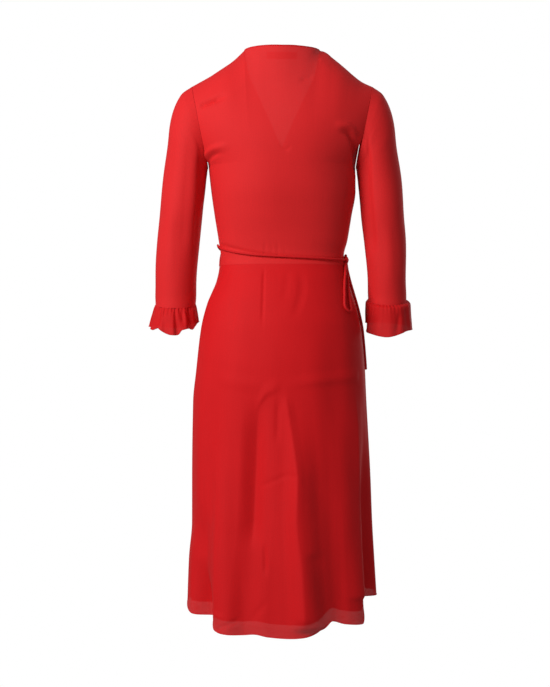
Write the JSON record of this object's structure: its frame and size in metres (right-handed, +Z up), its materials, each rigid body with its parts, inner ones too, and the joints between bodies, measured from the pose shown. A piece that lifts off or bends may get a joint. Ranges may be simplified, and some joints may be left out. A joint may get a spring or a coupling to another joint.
{
  "type": "wrap dress",
  "caption": "Hollow wrap dress in thin crepe with a V neck, three-quarter sleeves with ruffled cuffs, a lined flared midi skirt and a narrow tie in a side bow.",
  "frame": {"origin": "middle of the neck opening, at the height where the shoulder seams meet the neck edge; the wearer's shoulders hold the dress there", "axes": "+Z up along the dress from hem to neck, -Y the front with the wrap, +Y the back, +X the wearer's left"},
  "size_m": [0.533, 0.3026, 1.141],
  "materials": {
    "sheer_crepe": "sheer matt crepe georgette, one layer",
    "skirt_crepe": "matt crepe georgette over a lining",
    "lining": "smooth fine plain weave",
    "tie": "crepe rouleau",
    "label_ribbon": "plain satin ribbon"
  },
  "bodies": {
    "root": {"back_bodice": "sheer_crepe", "front_bodice_right": "sheer_crepe", "front_bodice_left": "sheer_crepe", "facing_right": "sheer_crepe", "facing_left": "sheer_crepe", "neck_label": "label_ribbon", "sleeve_left": "sheer_crepe", "sleeve_right": "sheer_crepe", "cuff_ruffle_left": "sheer_crepe", "cuff_ruffle_right": "sheer_crepe", "skirt_back": "skirt_crepe", "skirt_front_right": "skirt_crepe", "skirt_front_left": "skirt_crepe", "lining_back": "lining", "lining_front_right": "lining", "lining_front_left": "lining", "waist_tie": "tie", "bow_knot": "tie", "bow_loop_back": "tie", "bow_loop_front": "tie", "tie_end_side": "tie", "tie_end_front": "tie"}
  },
  "joints": []
}
